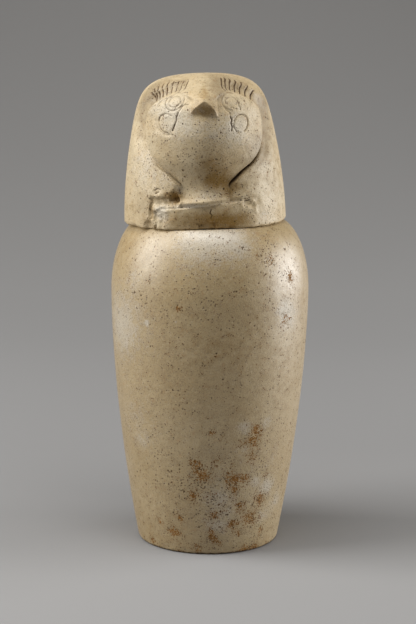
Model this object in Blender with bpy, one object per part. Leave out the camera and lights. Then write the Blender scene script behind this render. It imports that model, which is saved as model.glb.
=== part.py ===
"""A limestone canopic jar with a falcon-headed lid, life size.

Metres, +Z up. The origin is on the ground at the jar's axis, and the falcon looks along -Y.
The jar is a turned, hollow vessel whose rim is cut a little out of level, so that the lid
leans. The lid is one carved block: a hooded falcon's head on a flat underside, with a round
plug below that drops into the mouth. The head's carving is set out in shares of HEAD_RADIUS,
so it follows that size.
"""

import bmesh
import bpy
import numpy as np

# The jar, turned about the Z axis.
FOOT_RADIUS = 0.0495
FOOT_ROUNDING = 0.0028
BELLY_RADIUS = 0.0692
BELLY_HEIGHT = 0.1794
BELLY_FULLNESS = 1.74  # 1 is a straight cone from foot to belly, and more is rounder
SHOULDER_RISE = 0.0242  # how far the belly's upright line carries on before it turns in
SHOULDER_REACH = 0.0166  # how far the top's level line carries on outwards
SHOULDER_TOP_RADIUS = 0.0436
SHOULDER_ABOVE_RIM = 0.0028  # where the shoulder's curve ends, before the rim is cut
WALL = 0.0140
FLOOR = 0.0180
FLOOR_ROUNDING = 0.0120
MOUTH_RADIUS = 0.0380
MOUTH_DEPTH = 0.0190
INNER_SHOULDER_SHARE = 0.6  # how far the hollow's curve carries on before it turns in

# The rim, a flat cut through the shoulder.
RIM_HEIGHT = 0.2270
RIM_TILT = np.radians(-1.95)

# How the lid sits: on the rim, a little off the jar's axis.
SEAT_GAP = 0.0003
LID_SHIFT = -0.0037
PLUG_CLEARANCE = 0.0015
PLUG_DEPTH = 0.0130
PLUG_ROUNDING = 0.0020

# The hood: an upright round block that narrows to a flat crown.
HEAD_RADIUS = 0.0562
HEAD_HEIGHT = 0.1016
HEAD_DEPTH_SHARE = 0.97  # the block's depth over its width
HEAD_TURN = np.radians(1.6)  # how far the face looks towards +X
HOOD_TAPER = 0.181
TAPER_TO = 0.768
TAPER_POWER = 1.8
CROWN_SQUARENESS = 15.7
CROWN_ROUNDNESS = 2.6
EDGE_ROUNDING = 0.0026

# From here on a size without a unit is a share of HEAD_RADIUS, across or up from the seat.
# The face's outline: turn from straight up, and reach from the face's middle.
FACE_MIDDLE = 1.12
FACE_OUTLINE = (
    (0, 0.580),
    (20, 0.590),
    (38, 0.612),
    (55, 0.672),
    (70, 0.702),
    (90, 0.690),
    (104, 0.696),
    (119, 0.675),
    (136, 0.638),
    (150, 0.660),
    (158, 0.780),
    (166, 1.150),
    (180, 2.000),
)
# How far the throat lies back, and how far the face's keel stands out: height, and share.
THROAT_BACK = (
    (0.30, 0.030),
    (0.38, 0.070),
    (0.50, 0.085),
    (0.85, 0.000),
)
FACE_KEEL = (
    (0.30, 0.050),
    (0.47, 0.025),
    (0.62, 0.030),
    (0.76, 0.070),
    (0.95, 0.135),
    (1.15, 0.180),
    (1.35, 0.200),
    (1.55, 0.180),
    (1.68, 0.100),
    (1.76, 0.020),
)
FACE_HALF_WIDTH = (
    (0.34, 0.300),
    (0.44, 0.250),
    (0.60, 0.400),
    (0.76, 0.550),
    (0.95, 0.660),
    (1.15, 0.720),
    (1.35, 0.720),
    (1.50, 0.660),
    (1.65, 0.560),
)
FACE_KEEL_POWER = 1.45  # 1 is a roof's straight sides, and more is rounder
FACE_EDGE = 0.030
FACE_EDGE_WIDTH = 0.040
FACE_EDGE_TURNS = (20, 45)  # the edge stands clear from these turns down
FACE_EDGE_ENDS = (105, 140)  # and sinks to the hood between these
CHANNEL_DEPTH = 0.052
CHANNEL_WIDTH = 0.085
CHANNEL_WALL = (-0.010, 0.030)
CHANNEL_TURNS = (14, 34)
CHANNEL_ENDS = (92, 120)
# The groove beside the cheek and the hollow beside the neck, on the right and on the left.
GROOVE_DEPTHS = (0.014, 0.060)
GROOVE_WIDTH = 0.030
GROOVE_TURNS = (88, 108)
GROOVE_ENDS = (0.340, 0.420)
CHEST_HOLLOWS = (0.020, 0.080)
CHEST_HOLLOW_WIDTH = 0.140
CHEST_HOLLOW_TOP = (0.400, 0.640)
NECK_FLARE = 0.200
NECK_FLARE_ENDS = (0.320, 0.460)

# The beak, whose tip has broken off: a roof-shaped ridge over a facet that looks down.
BEAK_TIP = 1.535
BEAK_ROOT = 1.360
BEAK_ROOT_SLANT = -0.220
BEAK_HALF_WIDTH = 0.098
BEAK_SIDE_WIDTH = 0.045
BEAK_SLOPE = 0.620  # how much of its height the ridge loses from its crest to its side
BEAK_FORWARD = 0.150
BEAK_RIDGE_TOP = 1.740
BEAK_RIDGE_SPREAD = 0.170
BEAK_SIDE_SPREAD = 0.180

# The ledge under the neck, whose front edge slants up to the falcon's left.
LEDGE_HEIGHT = 0.276
LEDGE_SLANT = 0.080
LEDGE_RISE = 0.034
LEDGE_STEP = 0.040
LEDGE_STEP_FADE = 0.070
LEDGE_HALF_WIDTH = 0.600
LEDGE_TO_LAPPET = 0.100
LEDGE_FLATNESS = 0.050
LEDGE_LEAN_IN = 0.050
LEDGE_LEAN_POWER = 1.5
LEDGE_END_POWER = 1.6

# Where the right lappet's inner corner has broken away: left, right, bottom, top, depth, edge.
BREAKS = (
    (-0.680, -0.330, 0.262, 0.410, 0.040, 0.050),
    (-0.480, -0.320, 0.280, 0.480, 0.070, 0.080),
    (-0.720, -0.600, 0.060, 0.380, 0.050, 0.050),
)
CARVING_FADE = 0.30  # the carving dies out towards the sides, below this cosine of the turn

# How finely the round forms are cut into faces.
JAR_SIDES = 44
HALF_COLUMNS = (12, 4, 14, 6)  # over the face, its edge, the hood's side and its back
MOST_ASIDE = 0.94  # near the crown the columns along the face's edge go no further out
HEAD_ROWS = (2, 3, 2, 20, 4, 11)
CROWN_SPACING = 2.2  # rows crowd towards the crown's middle
HALVINGS = 20
FOOT_ROWS = 4
WALL_ROWS = 10
SHOULDER_ROWS = 9
INNER_ROWS = 6
FLOOR_ROWS = 4
CREASE_ANGLE = np.radians(35)  # edges sharper than this are not shaded smooth

JAR_STONE = (0.46, 0.38, 0.26, 1.0)
LID_STONE = (0.50, 0.42, 0.30, 1.0)
STONE_ROUGHNESS = 0.62


def blend(low, high, value):
    """Goes smoothly from 0 at low to 1 at high."""
    share = np.clip((value - low) / (high - low), 0.0, 1.0)
    return share * share * (3.0 - 2.0 * share)


def smooth_through(points, at):
    """A curve through the points with no overshoot: cubic pieces with limited slopes."""
    places, heights = np.array(points, float).T
    steps = np.diff(places)
    slopes = np.diff(heights) / steps
    before, after = slopes[:-1], slopes[1:]
    same_way = before * after > 0
    inner = np.where(same_way, 2 * before * after / np.where(same_way, before + after, 1), 0)
    tangents = np.concatenate([[0.0], inner, [0.0]])
    at = np.clip(at, places[0], places[-1])
    piece = np.clip(np.searchsorted(places, at, side="right") - 1, 0, len(steps) - 1)
    step = steps[piece]
    s = (at - places[piece]) / step
    start = heights[piece] * (1 + 2 * s) * (1 - s) ** 2
    end = heights[piece + 1] * s**2 * (3 - 2 * s)
    leave = tangents[piece] * step * s * (1 - s) ** 2
    arrive = tangents[piece + 1] * step * s**2 * (s - 1)
    return start + end + leave + arrive


def arc(centre, radius, start_deg, end_deg, count):
    """Points of a round corner in the (radius, height) plane."""
    turn = np.radians(np.linspace(start_deg, end_deg, count))
    return [(centre[0] + radius * np.cos(a), centre[1] + radius * np.sin(a)) for a in turn]


def shoulder(belly, top, rise, reach, count):
    """A cubic curve that leaves the belly upright and meets the top level."""
    t = np.linspace(0.0, 1.0, count)[:, None]
    corners = [belly, (belly[0], belly[1] + rise), (top[0] + reach, top[1]), top]
    a, b, c, d = (np.array(corner) for corner in corners)
    curve = a * (1 - t) ** 3 + 3 * b * (1 - t) ** 2 * t + 3 * c * (1 - t) * t**2 + d * t**3
    return [tuple(point) for point in curve]


def wall_radius(height):
    """The outer radius of the jar between its foot and its belly."""
    spread = BELLY_RADIUS - FOOT_RADIUS
    return BELLY_RADIUS - spread * (1 - height / BELLY_HEIGHT) ** BELLY_FULLNESS


def jar_outline():
    """The jar's section from the axis under its foot, up the outside and down the inside."""
    top_height = RIM_HEIGHT + SHOULDER_ABOVE_RIM
    corner = (wall_radius(FOOT_ROUNDING) - FOOT_ROUNDING, FOOT_ROUNDING)
    outside = [(0.0, 0.0)] + arc(corner, FOOT_ROUNDING, -90, 0, FOOT_ROWS)
    for height in np.linspace(FOOT_ROUNDING, BELLY_HEIGHT, WALL_ROWS)[1:]:
        outside.append((wall_radius(height), height))
    belly, top = outside[-1], (SHOULDER_TOP_RADIUS, top_height)
    outside += shoulder(belly, top, SHOULDER_RISE, SHOULDER_REACH, SHOULDER_ROWS)[1:]
    neck = (MOUTH_RADIUS, RIM_HEIGHT - MOUTH_DEPTH)
    inner_belly = (BELLY_RADIUS - WALL, BELLY_HEIGHT)
    rise = (neck[1] - inner_belly[1]) * INNER_SHOULDER_SHARE
    reach = (inner_belly[0] - neck[0]) * INNER_SHOULDER_SHARE
    inside = [(MOUTH_RADIUS, top_height)]
    inside += shoulder(inner_belly, neck, rise, reach, INNER_ROWS)[::-1]
    corner_height = FLOOR + FLOOR_ROUNDING
    for height in np.linspace(BELLY_HEIGHT, corner_height, INNER_ROWS)[1:]:
        inside.append((wall_radius(height) - WALL, height))
    corner = (inside[-1][0] - FLOOR_ROUNDING, corner_height)
    inside += arc(corner, FLOOR_ROUNDING, 0, -90, FLOOR_ROWS)[1:]
    return outside + inside + [(0.0, FLOOR)]


def hood_share(level):
    """The hood's radius without its crown, at a share of the head's height."""
    return 1 - HOOD_TAPER * (level / TAPER_TO) ** TAPER_POWER


def crown_share(level):
    """How the hood closes over the top: flat in the middle and round at its edge."""
    return np.clip(1 - level**CROWN_SQUARENESS, 0, 1) ** (1 / CROWN_ROUNDNESS)


def bump(distance):
    """A bell curve: 1 at no distance, and near 0 from a distance of 2 on."""
    return np.exp(-(distance**2))


def past_outline(aside, up):
    """How far a point lies outside the face's outline, its share of the reach, and its turn."""
    reach = np.hypot(aside, up - FACE_MIDDLE)
    turn = np.degrees(np.arctan2(np.abs(aside), up - FACE_MIDDLE))
    outline = smooth_through(FACE_OUTLINE, turn)
    return reach - outline, reach / outline, turn


def brow_channel(outside, turn):
    """The hollow round the brow, which follows the face's outline from outside."""
    wall = blend(*CHANNEL_WALL, outside)
    rim = 1 - blend(CHANNEL_WIDTH, 2 * CHANNEL_WIDTH, outside)
    return blend(*CHANNEL_TURNS, turn) * (1 - blend(*CHANNEL_ENDS, turn)) * wall * rim


def cheek_groove(aside, up, outside, turn):
    """The groove beside the cheek and the hollow beside the neck, deeper on the left."""
    line = bump((outside - GROOVE_WIDTH / 2) / GROOVE_WIDTH) * blend(*GROOVE_ENDS, up)
    chest = bump(outside / CHEST_HOLLOW_WIDTH) * (1 - blend(*CHEST_HOLLOW_TOP, up))
    depth = np.where(aside < 0, *GROOVE_DEPTHS) * line
    depth = depth + np.where(aside < 0, *CHEST_HOLLOWS) * chest * (outside > 0)
    return depth * blend(*GROOVE_TURNS, turn)


def face_relief(aside, up):
    """The face's keel and raised edge, less the throat, the brow's channel and the groove."""
    outside, share, turn = past_outline(aside, up)
    off_keel = np.clip(np.abs(aside) / smooth_through(FACE_HALF_WIDTH, up), 0, 1)
    keel = smooth_through(FACE_KEEL, up) * (1 - off_keel**FACE_KEEL_POWER)
    edge = FACE_EDGE * blend(*FACE_EDGE_TURNS, turn) * (1 - blend(*FACE_EDGE_ENDS, turn))
    flare = NECK_FLARE * (1 - blend(*NECK_FLARE_ENDS, up))
    inside = 1 - blend(-FACE_EDGE_WIDTH, flare, outside)
    throat = smooth_through(THROAT_BACK, up) * (1 - blend(0.0, flare + FACE_EDGE, outside))
    relief = inside * (edge * share**2 + keel) - throat
    relief = relief - CHANNEL_DEPTH * brow_channel(outside, turn)
    return relief - cheek_groove(aside, up, outside, turn)


def beak_line(aside):
    """The height of the beak's lower edges, which fall straight from its tip to its corners."""
    fall = BEAK_SLOPE * np.clip(np.abs(aside) / BEAK_HALF_WIDTH, 0, 1)
    return BEAK_TIP - (BEAK_TIP - BEAK_ROOT) * fall


def beak_relief(aside, up):
    """The lower of two slopes: a ridge that widens up to the brow, and the facet under it."""
    rising = blend(BEAK_TIP, BEAK_RIDGE_TOP, up)
    half_width = BEAK_HALF_WIDTH + BEAK_RIDGE_SPREAD * rising
    side_width = BEAK_SIDE_WIDTH + BEAK_SIDE_SPREAD * rising
    side = 1 - blend(half_width, half_width + side_width, np.abs(aside))
    ridge = BEAK_FORWARD * (1 - BEAK_SLOPE * np.abs(aside) / half_width) * side * (1 - rising)
    root = BEAK_ROOT + BEAK_ROOT_SLANT * aside
    under = BEAK_FORWARD * (up - root) / (BEAK_TIP - root)
    return np.clip(np.minimum(ridge, under), 0, None)


def ledge_line(aside):
    """The height of the ledge's front edge."""
    return LEDGE_HEIGHT + LEDGE_SLANT * aside


def ledge_relief(aside, up, relief):
    """The relief with the ledge put in: its flat front, and the step back above it."""
    line = ledge_line(aside)
    top = line + LEDGE_RISE
    on_ledge = 1 - blend(LEDGE_HALF_WIDTH, LEDGE_HALF_WIDTH + LEDGE_TO_LAPPET, np.abs(aside))
    inward = np.clip(1 - (aside / LEDGE_HALF_WIDTH) ** 2, 0, 1) ** LEDGE_END_POWER
    step = LEDGE_STEP * (1 - blend(top, top + LEDGE_STEP_FADE, up))
    lean_in = LEDGE_LEAN_IN * np.clip(1 - up / line, 0, 1) ** LEDGE_LEAN_POWER
    above = blend(line, top, up)
    front = inward * (LEDGE_FLATNESS + lean_in)
    bar = above * (relief - step * np.sqrt(inward)) - (1 - above) * front
    return relief * (1 - on_ledge) + bar * on_ledge


def break_relief(aside, up):
    """The places where stone has broken away, as sunken boxes with soft edges."""
    relief = 0 * aside
    for left, right, bottom, top, depth, edge in BREAKS:
        across = blend(left, left + edge, aside) * (1 - blend(right - edge, right, aside))
        upward = blend(bottom, bottom + edge, up) * (1 - blend(top - edge, top, up))
        relief = relief - depth * across * upward
    return relief


def head_points(turn, level):
    """The carved head: turn is the angle from the front, level the share of the height."""
    aside = np.sin(turn) * hood_share(level)
    up = level * HEAD_HEIGHT / HEAD_RADIUS
    in_front = blend(0.0, CARVING_FADE, np.cos(turn))
    relief = face_relief(aside, up) + beak_relief(aside, up)
    relief = ledge_relief(aside, up, relief) + break_relief(aside, up)
    crown = crown_share(level)
    radius = HEAD_RADIUS * (hood_share(level) * crown + relief * in_front * np.sqrt(crown))
    height = level * HEAD_HEIGHT
    near_edge = np.clip(1 - height / EDGE_ROUNDING, 0, 1)
    radius = radius - EDGE_ROUNDING * (1 - np.sqrt(1 - near_edge**2))
    x = radius * np.sin(turn + HEAD_TURN)
    y = -radius * np.cos(turn + HEAD_TURN) * HEAD_DEPTH_SHARE
    return np.stack(np.broadcast_arrays(x, y, height), axis=-1)


def between(marks, counts):
    """Splits the stretch between each mark and the next into its count of equal steps."""
    steps = []
    for low, high, count in zip(marks, marks[1:], counts):
        steps += [low + (high - low) * share for share in np.arange(count) / count]
    return np.array(steps + [marks[-1]])


def face_half_width(up):
    """How far the face reaches to either side at a height, found by halving."""
    up = np.minimum(up, FACE_MIDDLE)
    low, high = 0 * up, 0 * up + 1
    for _ in range(HALVINGS):
        middle = (low + high) / 2
        inside = past_outline(middle, up)[0] < 0
        low, high = np.where(inside, middle, low), np.where(inside, high, middle)
    return low


def column_turns(level):
    """The turns of the grid's columns, which follow the face's edge from row to row."""
    hood = hood_share(level)
    half_width = face_half_width(level * HEAD_HEIGHT / HEAD_RADIUS)
    edge = np.arcsin((half_width - FACE_EDGE_WIDTH) / hood)
    past_edge = np.arcsin(np.minimum((half_width + 2 * GROOVE_WIDTH) / hood, MOST_ASIDE))
    marks = [0 * hood, edge, past_edge, 0 * hood + np.pi / 2, 0 * hood + np.pi]
    half = between(marks, HALF_COLUMNS)
    return np.concatenate([half, 2 * np.pi - half[-2:0:-1]])


def row_levels(turn, beak_turn):
    """The levels of the grid's rows, which follow the ledge and the beak's lower edges."""
    front = np.where(np.cos(turn) > 0, np.sin(turn), np.sign(np.sin(turn)))
    to_level = HEAD_RADIUS / HEAD_HEIGHT
    near_beak = np.sin(beak_turn) * hood_share(BEAK_TIP * to_level)
    zero = 0 * turn
    marks = [
        zero,
        zero + EDGE_ROUNDING / HEAD_HEIGHT,
        ledge_line(front) * to_level,
        (ledge_line(front) + LEDGE_RISE) * to_level,
        zero + BEAK_ROOT * to_level,
        beak_line(near_beak) * to_level,
        zero + 1.0,
    ]
    level = between(marks, HEAD_ROWS)
    crown = level[-HEAD_ROWS[-1] - 1]
    share = np.linspace(0, 1, HEAD_ROWS[-1] + 1)[:, None]
    level[-HEAD_ROWS[-1] - 1 :] = 1 - (1 - crown) * (1 - share) ** CROWN_SPACING
    return level


def head_grid():
    """The grid of the head's surface: rows from its lower edge to just under the crown."""
    to_level = HEAD_RADIUS / HEAD_HEIGHT
    at_ledge = column_turns(np.float64(LEDGE_HEIGHT * to_level))
    at_beak = column_turns(np.float64(BEAK_TIP * to_level))
    level = row_levels(at_ledge, at_beak)[:-1]
    turns = column_turns(level)
    turn = np.stack([turns[j, :, j] for j in range(len(at_ledge))], axis=1)
    return head_points(turn, level), turn[0]


def plug_ring(radius, turn, height):
    """A ring of the plug, which is centred on the jar's mouth and not on the head."""
    x = radius * np.sin(turn + HEAD_TURN) - LID_SHIFT
    y = -radius * np.cos(turn + HEAD_TURN)
    return np.stack(np.broadcast_arrays(x, y, height), axis=-1)


def lid_rings():
    """The lid's rings of points from under its plug, out over the seat and up to the crown."""
    head, turn = head_grid()
    plug_radius = MOUTH_RADIUS - PLUG_CLEARANCE
    plug = [
        plug_ring(plug_radius - PLUG_ROUNDING, turn, -PLUG_DEPTH),
        plug_ring(plug_radius, turn, PLUG_ROUNDING - PLUG_DEPTH),
        plug_ring(plug_radius, turn, 0.0),
    ]
    return plug + list(head)


def closed_by_rings(rings, bottom, top):
    """A closed mesh: rings of points joined by quads, with a fan at each end."""
    mesh = bmesh.new()
    first, last = mesh.verts.new(bottom), mesh.verts.new(top)
    rows = [[mesh.verts.new(point) for point in ring] for ring in rings]
    count = len(rows[0])
    for i in range(count):
        j = (i + 1) % count
        mesh.faces.new((first, rows[0][j], rows[0][i]))
        for low, high in zip(rows, rows[1:]):
            mesh.faces.new((low[i], low[j], high[j], high[i]))
        mesh.faces.new((rows[-1][i], rows[-1][j], last))
    bmesh.ops.recalc_face_normals(mesh, faces=mesh.faces)
    return mesh


def turned(outline, sides):
    """A closed mesh turned about the Z axis from a section that starts and ends on it."""
    turn = np.linspace(0, 2 * np.pi, sides, endpoint=False)
    rings = [
        np.stack([radius * np.cos(turn), radius * np.sin(turn), height + 0 * turn], axis=-1)
        for radius, height in outline[1:-1]
    ]
    ends = [(0.0, 0.0, height) for _, height in (outline[0], outline[-1])]
    return closed_by_rings(rings, *ends)


def object_from(name, mesh, material):
    """Puts a mesh into the scene as a smooth-shaded object with its crisp edges kept."""
    data = bpy.data.meshes.new(name)
    mesh.to_mesh(data)
    mesh.free()
    data.shade_smooth()
    data.set_sharp_from_angle(angle=CREASE_ANGLE)
    data.materials.append(material)
    made = bpy.data.objects.new(name, data)
    bpy.context.scene.collection.objects.link(made)
    return made


def stone(name, color):
    """A pale, matt limestone."""
    material = bpy.data.materials.new(name)
    material.use_nodes = True
    shader = material.node_tree.nodes["Principled BSDF"]
    shader.inputs["Base Color"].default_value = color
    shader.inputs["Roughness"].default_value = STONE_ROUGHNESS
    shader.inputs["Metallic"].default_value = 0.0
    return material


def make_rim():
    """The rim's plane as an empty: Z is square to it, and the cut and the lid sit on it."""
    rim = bpy.data.objects.new("rim_plane", None)
    rim.location = (0, 0, RIM_HEIGHT)
    rim.rotation_euler = (0, RIM_TILT, 0)
    bpy.context.scene.collection.objects.link(rim)
    return rim


def make_jar(rim):
    """The hollow jar, whose top is cut off flat along the rim's plane."""
    jar = object_from("jar", turned(jar_outline(), JAR_SIDES), stone("jar_limestone", JAR_STONE))
    block = bmesh.new()
    side = 3 * BELLY_RADIUS
    bmesh.ops.create_cube(block, size=side)
    bmesh.ops.translate(block, verts=block.verts, vec=(0, 0, side / 2))
    cutter = object_from("rim_cutter", block, jar.data.materials[0])
    cutter.parent = rim
    cutter.hide_render = True
    cutter.display_type = "WIRE"
    cut = jar.modifiers.new("rim_cut", "BOOLEAN")
    cut.operation = "DIFFERENCE"
    cut.solver = "EXACT"
    cut.object = cutter


def make_lid(rim):
    """The falcon-headed lid, whose plug hangs in the jar's mouth."""
    bottom = (-LID_SHIFT, 0.0, -PLUG_DEPTH)
    mesh = closed_by_rings(lid_rings(), bottom, (0.0, 0.0, HEAD_HEIGHT))
    lid = object_from("falcon_lid", mesh, stone("lid_limestone", LID_STONE))
    lid.parent = rim
    lid.location = (LID_SHIFT, 0, SEAT_GAP)


def main():
    for thing in list(bpy.data.objects):
        bpy.data.objects.remove(thing)
    rim = make_rim()
    make_jar(rim)
    make_lid(rim)


main()
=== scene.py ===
"""The looks of a limestone canopic jar whose lid is a hooded falcon's head.

Both stones are surfaces worked out on a grid of turns and heights, in metres and in the
The front of each is gridded finely enough to hold its carved lines,
chips and pits, and masks kept on the points tell the stone where it bears stains or wear,
and where shade, shadow and highlights are painted on it.
"""

import bpy
import numpy as np
from mathutils import Matrix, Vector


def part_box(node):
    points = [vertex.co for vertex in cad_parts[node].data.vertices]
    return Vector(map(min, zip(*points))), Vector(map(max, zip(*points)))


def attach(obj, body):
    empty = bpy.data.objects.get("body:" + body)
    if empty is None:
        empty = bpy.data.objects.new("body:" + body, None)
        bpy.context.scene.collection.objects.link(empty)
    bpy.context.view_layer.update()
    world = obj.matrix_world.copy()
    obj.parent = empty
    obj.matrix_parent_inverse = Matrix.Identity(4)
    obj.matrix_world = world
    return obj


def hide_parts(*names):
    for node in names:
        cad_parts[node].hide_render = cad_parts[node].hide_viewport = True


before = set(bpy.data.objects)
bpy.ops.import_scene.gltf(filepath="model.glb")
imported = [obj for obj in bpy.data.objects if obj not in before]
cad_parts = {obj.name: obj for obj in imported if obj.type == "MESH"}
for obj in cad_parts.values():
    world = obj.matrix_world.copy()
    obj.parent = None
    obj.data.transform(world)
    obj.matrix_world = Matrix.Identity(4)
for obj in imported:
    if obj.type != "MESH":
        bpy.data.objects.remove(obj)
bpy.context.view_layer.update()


# The jar as it was turned, in metres. Its widest radius comes from the frame.
BELLY_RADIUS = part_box("jar")[1].x
FOOT_RADIUS = 0.0495
FOOT_ROUNDING = 0.0028
BELLY_HEIGHT = 0.1794
BELLY_FULLNESS = 1.74
SHOULDER_RISE = 0.0242
SHOULDER_REACH = 0.0166
SHOULDER_TOP_RADIUS = 0.0436
SHOULDER_ABOVE_RIM = 0.0028
WALL = 0.0140
FLOOR = 0.0180
FLOOR_ROUNDING = 0.0120
MOUTH_RADIUS = 0.0380
MOUTH_DEPTH = 0.0190
VAULT_POWER = 0.8
RIM_HEIGHT = 0.2270
RIM_TILT = np.radians(-1.95)

# How the lid sits on the rim, and the block that it was carved from, in metres.
SEAT_GAP = 0.0003
LID_SHIFT = -0.0037
PLUG_RADIUS = 0.0365
PLUG_DEPTH = 0.0130
PLUG_ROUNDING = 0.0020
HEAD_RADIUS = 0.0562
HEAD_HEIGHT = 0.1016
HEAD_DEPTH_SHARE = 0.97
HEAD_TURN = np.radians(1.6)
HOOD_TAPER = 0.181
TAPER_TO = 0.768
TAPER_POWER = 1.8
CROWN_SQUARENESS = 15.7
CROWN_ROUNDNESS = 2.6
EDGE_ROUNDING = 0.0026
# How much of the edge's rounding there is everywhere, and how much more a chip takes.
EDGE_CHIPPING = (0.45, 0.90)
# The carving fades to nothing at the sides, from this cosine of the turn from the front.
FRONT_FADE = 0.30

# The face's outline, in shares of the head's radius: the height of its middle, then the
# turn from straight up in degrees, and the reach.
FACE_MIDDLE = 1.12
FACE_OUTLINE = (
    (0, 0.580),
    (20, 0.590),
    (38, 0.612),
    (55, 0.672),
    (70, 0.702),
    (90, 0.690),
    (104, 0.696),
    (119, 0.675),
    (136, 0.638),
    (150, 0.660),
    (158, 0.780),
    (166, 1.150),
    (180, 2.000),
)
# The throat's recess, how far the keel stands out and the keel's half width, by height.
THROAT_BACK = (
    (0.30, 0.030),
    (0.38, 0.070),
    (0.50, 0.085),
    (0.85, 0.000),
)
FACE_KEEL = (
    (0.30, 0.050),
    (0.47, 0.025),
    (0.62, 0.030),
    (0.76, 0.070),
    (0.95, 0.150),
    (1.15, 0.215),
    (1.35, 0.240),
    (1.55, 0.205),
    (1.68, 0.100),
    (1.76, 0.020),
)
FACE_HALF_WIDTH = (
    (0.34, 0.300),
    (0.44, 0.250),
    (0.60, 0.400),
    (0.76, 0.550),
    (0.95, 0.660),
    (1.15, 0.720),
    (1.35, 0.720),
    (1.50, 0.660),
    (1.65, 0.560),
)
FACE_KEEL_POWER = 1.20
KEEL_ROUNDING = 0.120
KEEL_ROUNDING_BELOW = 0.10
KEEL_ROUNDED_FROM = (1.30, 1.60)
THROAT_EDGE = 0.030
# The face's raised edge, the channel round the brow, the groove and the hollow below.
FACE_EDGE = 0.030
FACE_EDGE_WIDTH = 0.030
FACE_EDGE_TURNS = (20, 45)
FACE_EDGE_ENDS = (105, 140)
CHANNEL_DEPTH = 0.052
CHANNEL_WIDTH = 0.085
CHANNEL_WALL = (-0.010, 0.030)
CHANNEL_TURNS = (14, 34)
CHANNEL_ENDS = (92, 120)
GROOVE_DEPTHS = (0.014, 0.060)
GROOVE_WIDTH = 0.015
GROOVE_TURNS = (88, 108)
GROOVE_ENDS = (0.450, 0.540)
CHEST_HOLLOWS = (0.020, 0.080)
CHEST_HOLLOW_WIDTH = 0.140
CHEST_HOLLOW_TOP = (0.400, 0.640)
CHEST_HOLLOW_EDGE = 0.020
# The painted shadow in the groove beside the face, weak on the left and strong on the right.
GROOVE_SHADOW = (0.150, 0.950)
NECK_FLARE = 0.200
NECK_FLARE_ENDS = (0.340, 0.580)

# The beak, in shares of the head's radius: a ridge that widens up to the brow.
BEAK_TIP = 1.535
BEAK_ROOT = 1.360
BEAK_ROOT_SLANT = -0.220
BEAK_HALF_WIDTH = 0.086
BEAK_SIDE_WIDTH = 0.036
BEAK_SIDE_WIDENING = 4
BEAK_SLOPE = 0.620
BEAK_CREST_ROUNDING = 0.014
BEAK_CREST_WIDENING = 9
BEAK_FORWARD = 0.150
BEAK_RIDGE_TOP = 1.740
BEAK_RIDGE_SPREAD = 0.170

# The ledge under the neck, in the same shares: a bar that slants up to the right.
LEDGE_HEIGHT = 0.276
LEDGE_SLANT = 0.080
LEDGE_RISE = 0.015
LEDGE_STEP = 0.040
LEDGE_HALF_WIDTH = 0.600
LEDGE_TO_LAPPET = 0.100
LEDGE_LEAN_IN = 0.050
LEDGE_FLATNESS = 0.050
LEDGE_LEAN_POWER = 1.5
LEDGE_END_POWER = 1.6
LEDGE_STEP_FADE = 0.060
# A painted highlight along the ledge's top edge: its width and strength.
LEDGE_EDGE_WIDTH = 0.020
LEDGE_EDGE_HIGHLIGHT = 0.35

# Where stone has broken away from the lid, in the same shares: left, right, bottom, top,
# depth and edge.
BREAKS = (
    (-0.680, -0.330, 0.262, 0.410, 0.036, 0.050),
    (-0.480, -0.320, 0.280, 0.480, 0.070, 0.080),
    (-0.700, -0.640, 0.100, 0.370, 0.024, 0.022),
    (-0.645, -0.500, -0.100, 0.250, 0.014, 0.040),
    (-0.790, -0.640, -0.100, 0.120, 0.045, 0.070),
    (-0.665, -0.610, -0.100, 0.055, 0.050, 0.022),
    (-0.130, 0.130, -0.100, 0.096, 0.018, 0.018),
    (0.440, 0.600, 0.235, 0.345, 0.016, 0.040),
)
# Where the broken stone is rough: middle aside and up, half width and height, amount.
ROUGH_PLACES = (
    (-0.560, 0.200, 0.130, 0.130, 1.0),
    (-0.450, 0.370, 0.160, 0.090, 0.8),
    (-0.700, 0.050, 0.080, 0.070, 0.5),
    (0.600, 0.180, 0.080, 0.150, 0.4),
    (0.520, 0.330, 0.100, 0.050, 0.6),
    (0.000, 0.050, 0.160, 0.050, 0.6),
    (0.250, 0.300, 0.300, 0.040, 0.4),
    (-0.620, 0.480, 0.080, 0.060, 0.4),
)

# The rings round the eyes and the loops on the cheeks: middle aside and up, half width
# and height, lean in degrees, and the turns from which to which they are cut.
EYE_RINGS = (
    (-0.292, 1.523, 0.112, 0.088, 50, 0, 360),
    (-0.290, 1.522, 0.068, 0.053, 50, 0, 360),
    (0.275, 1.510, 0.100, 0.098, 0, 70, 265),
    (0.272, 1.507, 0.060, 0.052, 0, -40, 200),
)
CHEEK_LOOPS = (
    (-0.385, 1.272, 0.095, 0.110, 0, 52, 270),
    (0.376, 1.247, 0.085, 0.106, 0, -60, 250),
)
CHEEK_TROUGHS = ((-0.385, 1.270, 0.127, 0.131, 0, 170, 278),)
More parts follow.
